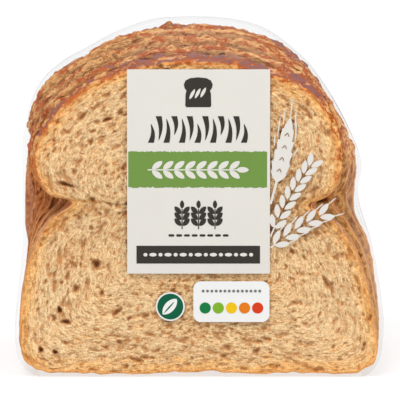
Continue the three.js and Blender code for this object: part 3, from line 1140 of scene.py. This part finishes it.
def leaf(x, z, length, width, level, sides=20, sharpness=1.5):
    """A pointed grain that starts at a point and leans at an angle from level, in degrees."""
    grain = [(length / 2 * (1 - u), width / 2 * math.copysign(abs(v) ** sharpness, v))
             for u, v in round_points(sides)]
    return placed(grain, x, z, level)


def printed(name, outlines, ink, node, layer=0):
    """A piece of thin plates with these outlines, in mm, each layer just over the last."""
    bm = bmesh.new()
    for i, outline in enumerate(outlines):
        scaled = [(x * MM, z * MM) for x, z in outline]
        back = PRINT_Y - layer * PRINT_THICKNESS - (i % OVERLAPS) * OVERLAP_STEP
        add_loft(bm, [(back - PRINT_THICKNESS, scaled), (back + PRINT_THICKNESS / 4, scaled)])
    as_piece(finished(bm, name), name, *ink, node)


# %% [markdown]
# Printed ink on film is even, with a faint grain from the screen it is printed with.

# %% Ink
INK_STRENGTH = 0.74


def ink_group():
    tree, (place, tint), leave = new_group(
        "ink", {"Place": None, "Tint": (1, 1, 1, 1)}, "Color", "Height")
    uneven = clouds(place, 70.0, 3.0)
    grain = ramp(clouds(place, 2600.0, 1.0), 0.3, 0.7, 0.975, 1.0)
    shade = times(grain, ramp(uneven, 0.3, 0.7, 0.985, 1.0))
    feed(leave["Color"], mix(1.0, tint, shade, "MULTIPLY"))
    feed(leave["Height"], uneven)
    return tree


ink_layer = ink_group()


def new_ink(name, slot, *on_screen):
    """An ink and its slot, from a colour as on a screen, in 0 to 255."""
    linear = ((c / 255 / 12.92) if c < 11 else ((c / 255 + 0.055) / 1.055) ** 2.4
              for c in on_screen)
    material, _, place = new_material(name)
    colour, height = use(ink_layer, Place=place, Tint=tuple(INK_STRENGTH * c for c in linear))
    shaded(material, {"Base Color": colour, "Normal": bumped(height, 0.1, 0.3 * MM),
                      "Roughness": 0.45, "Specular IOR Level": 0.15})
    return material, slot


cream = new_ink("cream_ink", "cream_print", 236, 232, 224)
green = new_ink("green_ink", "green_print", 119, 155, 73)
dark = new_ink("dark_ink", "dark_print", 58, 54, 49)
deep_green = new_ink("badge_ink", "badge_print", 0, 98, 65)
white = new_ink("white_ink", "white_print", 250, 250, 248)

# %% [markdown]
# ## The label
# A tall cream field carries, from the top, an emblem, a row of stripes, a green band with a
# garland of leaves, three small ears and a dark strip with a row of seeds.

# %% Label fields
LABEL = (-24.7, 24.7, 36.3, 107.2)
BAND = (-24.3, 23.7, 66.1, 78.9)
BAND_ROUGHNESS = 0.7
STRIP = (-21.5, 21.3, 39.8, 46)


def brushed_rectangle(left, right, bottom, top, steps=90):
    """A rectangle whose long edges are a little ragged, as if laid down with a dry brush."""
    def ragged(x, *lot):
        return abs(noise.noise(Vector((x * 1.3, *lot)))) * BAND_ROUGHNESS

    across = [left + (right - left) * i / steps for i in range(steps + 1)]
    return [(x, bottom + ragged(x, 0.5, 2.1)) for x in across] + \
        [(x, top - ragged(x, 7.5, 4.2)) for x in across[::-1]]


printed("cream_label", [rectangle(*LABEL)], cream, "label_panel")
printed("green_band", [brushed_rectangle(*BAND)], green, "label_band", 1)
printed("dark_strip", [rectangle(*STRIP)], dark, "label_strip", 1)
print("fields of the label: 3")

# %% [markdown]
# The emblem is a slice of bread with three slanting cuts, and each stripe is a tapering curl,
# from the top or from the bottom by turns. A garland of leaves lies along the green band.

# %% Marks on the label
EMBLEM = {"x": -0.1, "z": 99.2, "half": 5.1}
STRIPES = {"left": -17.8, "right": 17.0, "bottom": 81.8, "top": 91, "count": 13}
SMALL_EARS = (-5.7, 0, 5.7)


def slice_emblem(x, z, half):
    """A slice standing on its base: two lobes above a waist."""
    side = [(0.8, -1), (0.88, -0.9), (0.86, -0.1), (0.8, 0.12), (0.93, 0.3), (0.98, 0.55),
            (0.85, 0.82), (0.55, 0.97)]
    shape = side + [(0, 1.03)] + [(-u, v) for u, v in side[::-1]]
    return [(x + half * u, z + half * v) for u, v in shape]


def stripe(x, bottom, top, width, bend, steps=14):
    """A band that tapers from its broad end to a point, bent sideways."""
    one, other = [], []
    for i in range(steps + 1):
        t = i / steps
        half = width / 2 * (1 - t) ** 0.7
        middle, z = x + bend * math.sin(t * math.pi), bottom + (top - bottom) * t
        one.append((middle + half, z))
        other.append((middle - half, z))
    return one + other[-2::-1]


def stripe_row(left, right, bottom, top, count):
    """Stripes from above and from below by turns, all bent the same way."""
    pitch = (right - left) / count
    row = []
    for i in range(count):
        reach = (top - bottom) * (0.92 if i % 3 else 0.72)
        start, end = (top, top - reach) if i % 2 else (bottom, bottom + reach)
        row.append(stripe(left + pitch * (i + 0.5), start, end, pitch * 0.78, 0.7))
    return row


def small_ear(x, bottom=52.2, top=61.8):
    """A short ear: one grain on top and three pairs below it on a stalk."""
    step = (top - bottom) / 4.4
    grains = [leaf(x, top - step * 1.3, step * 1.3, 1.5, 90)]
    grains += [leaf(x + side * 0.3, bottom + step * (0.35 + 0.95 * i), step * 1.55, 1.75,
                    90 - side * 42) for i in range(3) for side in (1, -1)]
    return grains + [rectangle(x - 0.18, x + 0.18, bottom - 0.4, bottom + 3 * step)]


def garland(left, right, z, pairs, length=4.4, width=2.0, lean=36):
    """A level stem with pairs of leaves, ending in one leaf."""
    pitch = (right - left - length) / pairs
    stem = rectangle(left, right - length, z - 0.22, z + 0.22)
    return [stem, leaf(right - length, z, length, width, 0)] + [
        leaf(left + pitch * (i + 0.4), z + side * 0.35, length, width, side * lean)
        for i in range(pairs) for side in (-1, 1)]


marks = [slice_emblem(**EMBLEM)] + stripe_row(**STRIPES)
for x in SMALL_EARS:
    marks += small_ear(x)
marks += [rectangle(x - 1.0, x + 1.0, 49.2, 50.0, 0.35) for x in np.linspace(-9.4, 9.4, 8)]
printed("label_marks", marks, dark, "label_panel", 1)
cream_marks = [leaf(-3.1 + 1.9 * i, 96.9 + 0.3 * i, 3.9, 1.1, 62) for i in range(3)]
cream_marks += garland(-17.6, 17.4, 72.4, 8)
cream_marks += [oval(x, 42.9, 1.25 if i % 2 else 0.7, 0.62)
                for i, x in enumerate(np.linspace(-18.4, 18.2, 15))]
printed("cream_marks", cream_marks, cream, "label_panel", 2)
print("dark marks:", len(marks), "cream marks:", len(cream_marks))

# %% [markdown]
# ## Badge and panel
# A round green badge with a plain leaf and a thin white edge stands to the left of a white
# panel. On the panel a row of small grey dots lies over a row of coloured ones, from green to
# red.

# %% Badge and panel
BADGE = {"x": -9.8, "z": 24.8, "radius": 5.0, "edge": 0.5}
PANEL = (-1.8, 24.6, 19.4, 33.6, 2.6)
DOT_COLOURS = ((12, 128, 66), (133, 187, 47), (250, 204, 12), (238, 129, 20), (226, 62, 24))


def badge_shapes(x, z, radius, edge):
    return {"badge_edge": oval(x, z, radius, radius, 64),
            "green_badge": oval(x, z, radius - edge, radius - edge, 64),
            "badge_leaf": leaf(x - 2.6, z - 2.7, 7.2, 3.6, 48),
            "leaf_vein": leaf(x - 2.2, z - 2.3, 5.4, 0.5, 48)}


for layer, (name, shape) in enumerate(badge_shapes(**BADGE).items()):
    printed(name, [shape], deep_green if layer % 2 else white, "round_badge", layer)
printed("white_panel", [rectangle(*PANEL)], white, "dot_panel")
for i, colour in enumerate(DOT_COLOURS):
    dot_ink = new_ink(f"dot_ink_{i + 1}", "badge_print", *colour)
    printed(f"panel_dot_{i + 1}", [oval(2.3 + 4.55 * i, 24.3, 1.95, 1.95, 40)], dot_ink,
            "dot_panel", 1)
small_dots = [oval(x, 30.2, 0.5, 0.5) for x in np.linspace(1.6, 21.2, 14)]
printed("panel_dots_small", small_dots, new_ink("grey_ink", "dark_print", 120, 122, 124),
        "dot_panel", 1)
print("dots on the panel:", len(DOT_COLOURS) + len(small_dots))

# %% [markdown]
# ## Wheat ears
# Three cream ears lean out from the edge of the label. The first is close-set, with a chevron
# between each two pairs of grains and long awns. The other two are open: the grains stand
# apart from the stalk, and the bread shows between them.

# %% Ears
EARS = (
    {"root": (24.9, 60.5), "middle": (28.6, 73.4), "tip": (31.8, 90.7), "grain": (6.6, 6.6),
     "lean": 6, "pairs": 6, "bare": 0.27, "apart": 0.45, "stalk": 0.8, "close": 0, "awn": 6.4},
    {"root": (24.9, 49.2), "middle": (31.4, 64.8), "tip": (40.6, 76.2), "grain": (4.7, 2.0),
     "lean": 31, "pairs": 8, "bare": 0.1, "apart": 0.4, "stalk": 0.5, "close": 0.2, "awn": 0},
    {"root": (24.9, 45.3), "middle": (34.2, 52.8), "tip": (46.2, 58.4), "grain": (5.2, 2.1),
     "lean": 28, "pairs": 5, "bare": 0.07, "apart": 0.42, "stalk": 0.5, "close": 0.2, "awn": 4.2},
)
SPINDLE = ((0, 0.08, 0.2, 0.4, 0.6, 0.75, 0.88, 1), (0, 0.62, 0.97, 1, 0.93, 0.75, 0.5, 0))
SPINDLE_AWNS = (
    # side, share of the way up, length as a share of the longest, lean
    (1, 0.55, 0.7, 8), (1, 0.7, 1.1, 4), (1, 0.88, 0.9, 3),
    (-1, 0.48, 0.5, -20), (-1, 0.68, 1.1, 8), (-1, 0.86, 0.9, 8),
)
TIP_GAP = 0.1
CHEVRONS = (0.24, 0.42, 0.6, 0.78)


def on_stalk(ear, t):
    """Place and heading on an ear's stalk, a quadratic curve."""
    root, middle, tip = (np.array(ear[k], float) for k in ("root", "middle", "tip"))
    place = (1 - t) ** 2 * root + 2 * t * (1 - t) * middle + t * t * tip
    slope = (1 - t) * (middle - root) + t * (tip - middle)
    return *place, math.degrees(math.atan2(slope[1], slope[0]))


def up_ear(ear, share):
    """Place and heading at a share of the way up the part of the stalk that carries grains."""
    return on_stalk(ear, ear["bare"] + (1 - ear["bare"]) * share)


def awn(x, z, length, level):
    """A thin bristle that tapers to a point."""
    return leaf(x, z, length, 0.4, level, 12, 0.9)


def open_ear(ear):
    """Pairs of grains that stand apart from the stalk, with a bristle on each if it has any."""
    shapes = []
    length, width = ear["grain"]
    for pair in range(ear["pairs"]):
        x, z, heading = up_ear(ear, pair / ear["pairs"])
        for side in (-1, 1):
            lean = side * ear["lean"] * (1 - ear["close"] * pair / ear["pairs"])
            start = ahead(x, z, ear["apart"], heading + side * 90)
            shapes.append(leaf(*start, length, width, heading + lean))
            if ear["awn"]:
                tip = ahead(*start, length * 0.86, heading + lean)
                shapes.append(awn(*tip, ear["awn"], heading + lean / 2))
    return shapes


def beside(ear, share, side, fullness=1.0, apart=0.0):
    """A point on the edge of the spindle, or apart from it, and the heading there."""
    x, z, heading = up_ear(ear, share)
    half = ear["grain"][1] / 2 * np.interp(share, *SPINDLE) * fullness
    return *ahead(x, z, half + apart, heading + side * 90), heading


def close_ear(ear, steps=8):
    """A spindle whose edges are cut into upright teeth, with bristles that stand free of it."""
    sides = {-1: [], 1: []}
    for i in range(1, ear["pairs"] * (steps + 1) - 1):
        tooth, part = divmod(i, steps + 1)
        share = (tooth + part / steps) / ear["pairs"]
        for side, edge in sides.items():
            edge.append(beside(ear, share, side, 0.76 + 0.24 * part / steps)[:2])
    base, tip = (up_ear(ear, share)[:2] for share in (0, 1))
    shapes = [[base] + sides[-1] + [tip] + sides[1][::-1]]
    for side, share, length, lean in SPINDLE_AWNS:
        *start, heading = beside(ear, share, side, apart=ear["apart"])
        shapes.append(awn(*start, ear["awn"] * length, heading + lean))
    # the awn on the tip takes its heading from the last one below it
    shapes.append(awn(*ahead(*tip, TIP_GAP, heading), ear["awn"], heading + ear["lean"]))
    return shapes


def stalk_outline(ear, steps=14):
    """A strip along the stalk, from its root to a little past where the grains start."""
    places = [on_stalk(ear, (ear["bare"] + 0.03) * i / steps) for i in range(steps + 1)]
    one, other = ([ahead(x, z, ear["stalk"] / 2, heading + side * 90) for x, z, heading in places]
                  for side in (-1, 1))
    return one + other[::-1]


def chevron(ear, share, reach=1.6, width=0.3):
    """A small roof over the stalk, as two thin grains that meet on it."""
    x, z, heading = up_ear(ear, share)
    return [leaf(*ahead(x, z, reach, heading + 180 + lean), reach, width, heading + lean)
            for lean in (-32, 32)]


for i, ear in enumerate(EARS):
    shapes = (open_ear(ear) if i else close_ear(ear)) + [stalk_outline(ear)]
    printed(f"printed_ear_{i + 1}", shapes, cream, f"wheat_ear_{i + 1}")
roofs = [shape for share in CHEVRONS for shape in chevron(EARS[0], share)]
printed("ear_chevrons", roofs, new_ink("brown_ink", "dark_print", 150, 104, 66), "wheat_ear_1", 2)
print("ears:", len(EARS), "chevrons:", len(roofs) // 2)

# %% [markdown]
# ## The back seal
# The film is closed by a welded strip down the middle of the back. The weld bars press fine
# level ridges into it.

# %% Seal
SEAL = {"half": 4.5 * MM, "bottom": 6 * MM, "top": 100 * MM, "thickness": 0.3 * MM,
        "clear": 0.35 * MM}
RIDGE = 1.6 * MM
RIDGE_HEIGHT = 0.12 * MM


def make_seal():
    bm = bmesh.new()
    height = SEAL["top"] - SEAL["bottom"]
    bmesh.ops.create_grid(bm, x_segments=4, y_segments=280, size=0.5)
    for vert in bm.verts:
        x, z = vert.co.x * 2 * SEAL["half"], SEAL["bottom"] + (vert.co.y + 0.5) * height
        ridge = math.sin(2 * math.pi * z / RIDGE) * RIDGE_HEIGHT
        vert.co = (x, bag_high.y + SEAL["clear"] + ridge, z)
    bmesh.ops.solidify(bm, geom=list(bm.faces), thickness=SEAL["thickness"])
    mesh = finished(bm, "seal")
    mesh.shade_smooth()
    return mesh


welded_film = film_material("welded_film", 0.87, 0.3, 0.3, 2.0)
as_piece(make_seal(), "welded_seal", welded_film, "film", "back_seal")
print("ridges in the seal:", round((SEAL["top"] - SEAL["bottom"]) / RIDGE))

# %% [markdown]
# ## The stage
# A pale floor, one large soft light over the front, a weaker one on the right, a weak one
# behind and an even pale sky. The camera stands 1.5 m away and looks down 5.5 degrees, as the
# photograph does.

# %% Stage, lights and camera
PHOTO_PIXELS = 400
PIXEL = 0.346 * MM
PHOTO_MIDDLE = Vector((0.5 * MM, bag_low.y, 61.9 * MM))
CAMERA_DISTANCE = 1.5
CAMERA_DROP = math.radians(5.5)
SENSOR = 36
FLOOR_HALF = 15
FLOOR_REACH = (0.4, 2.2)
FLOOR_GLOW = (0.69, 0.87)
LIGHTS_AIM = Vector((0, 0, 0.06))
LIGHTS = {
    # place, size and power
    "key": ((-0.35, -0.75, 1.15), 0.7, 12.0),
    "fill": ((0.9, -0.6, 0.6), 0.9, 5.5),
    "back_light": ((0.1, 0.9, 0.9), 0.8, 4),
}
SKY = {"Color": (0.98, 0.99, 1, 1), "Strength": 0.55}


def facing_along(direction):
    return direction.to_track_quat("-Z", "Y").to_euler()


def make_floor():
    bm = bmesh.new()
    bmesh.ops.create_grid(bm, x_segments=2, y_segments=2, size=FLOOR_HALF)
    floor = new_object("floor", finished(bm, "floor"))
    material, _, place = new_material("floor")
    reach = after("VectorMath", {0: place}, "Value", operation="LENGTH")
    floor.data.materials.append(shaded(material, {
        "Base Color": (0.3, 0.3, 0.3), "Roughness": 0.9, "Specular IOR Level": 0,
        "Emission Color": (1, 1, 1), "Emission Strength": ramp(reach, *FLOOR_REACH, *FLOOR_GLOW)}))


def make_light(name, place, size, power):
    light = bpy.data.lights.new(name, "AREA")
    light.shape = "DISK"
    light.size = size
    light.energy = power
    lamp = new_object(name, light)
    lamp.location = place
    lamp.rotation_euler = facing_along(LIGHTS_AIM - Vector(place))


def make_camera():
    camera = bpy.data.cameras.new("camera")
    camera.sensor_width = SENSOR
    camera.lens = SENSOR * CAMERA_DISTANCE / (PHOTO_PIXELS * PIXEL)
    camera.clip_start = 0.05
    camera.clip_end = 100
    stand = new_object("camera", camera)
    back = Vector((0, -math.cos(CAMERA_DROP), math.sin(CAMERA_DROP)))
    stand.location = PHOTO_MIDDLE + back * CAMERA_DISTANCE
    stand.rotation_euler = facing_along(-back)
    bpy.context.scene.camera = stand


make_floor()
for name, row in LIGHTS.items():
    make_light(name, *row)
sky = bpy.data.worlds.new("sky")
sky.use_nodes = True
for name, value in SKY.items():
    sky.node_tree.nodes["Background"].inputs[name].default_value = value
bpy.context.scene.world = sky
bpy.context.scene.view_settings.view_transform = "Standard"
make_camera()
print("camera lens, in mm:", round(bpy.context.scene.camera.data.lens))
